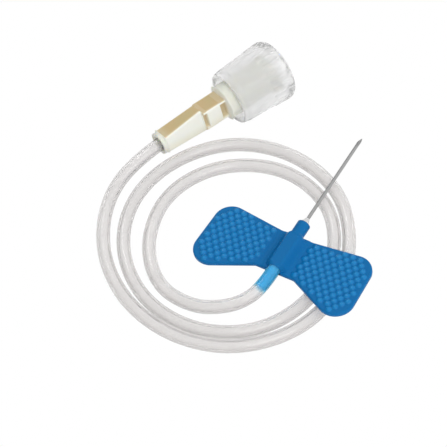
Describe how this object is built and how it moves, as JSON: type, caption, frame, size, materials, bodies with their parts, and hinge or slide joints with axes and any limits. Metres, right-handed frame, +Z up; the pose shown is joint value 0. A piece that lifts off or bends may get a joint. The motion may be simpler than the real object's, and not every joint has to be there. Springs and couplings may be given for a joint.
{
  "type": "winged infusion needle set",
  "caption": "Butterfly needle: steel cannula in a blue hub with two folding pimpled wings, a coiled clear tube and a female luer hub under a clear cap.",
  "frame": {"origin": "on the surface that the set lies on, under the middle of the box of the needle, hub and wings, without the tube, luer hub and cap", "axes": "+Y along the needle towards its point, +X towards the right wing, +Z up from the surface"},
  "size_m": [0.0512, 0.0601, 0.012],
  "materials": {
    "steel": "drawn stainless tube, fine satin",
    "clear_adhesive": "clear cured adhesive, glossy",
    "blue_vinyl": "soft moulded vinyl, low gloss",
    "clear_vinyl": "clear soft extruded tube, glossy",
    "ivory_plastic": "translucent ivory moulding, low gloss",
    "clear_plastic": "clear moulding, faintly frosted"
  },
  "bodies": {
    "root": {"cannula": "steel", "adhesive_bead": "clear_adhesive", "wing_hub": "blue_vinyl", "tube": "clear_vinyl", "luer_hub": "ivory_plastic"},
    "left_wing": {"left_wing": "blue_vinyl"},
    "right_wing": {"right_wing": "blue_vinyl"},
    "cap": {"cap": "clear_plastic"}
  },
  "joints": [
    {"name": "left_fold", "type": "hinge", "parent": "root", "child": "left_wing", "pos_m": [-0.00309, -0.00988, 0.00223], "axis": [0, 1, 0], "range_deg": [0, 90], "stiffness_Nm_per_rad": 0.0002},
    {"name": "right_fold", "type": "hinge", "parent": "root", "child": "right_wing", "pos_m": [0.00306, -0.00988, 0.00308], "axis": [0, -1, 0], "range_deg": [0, 90], "stiffness_Nm_per_rad": 0.0002},
    {"name": "cap_pull", "type": "slide", "parent": "root", "child": "cap", "axis": [0.3904, 0.9196, 0.0436], "range_m": [0, 0.012]}
  ]
}
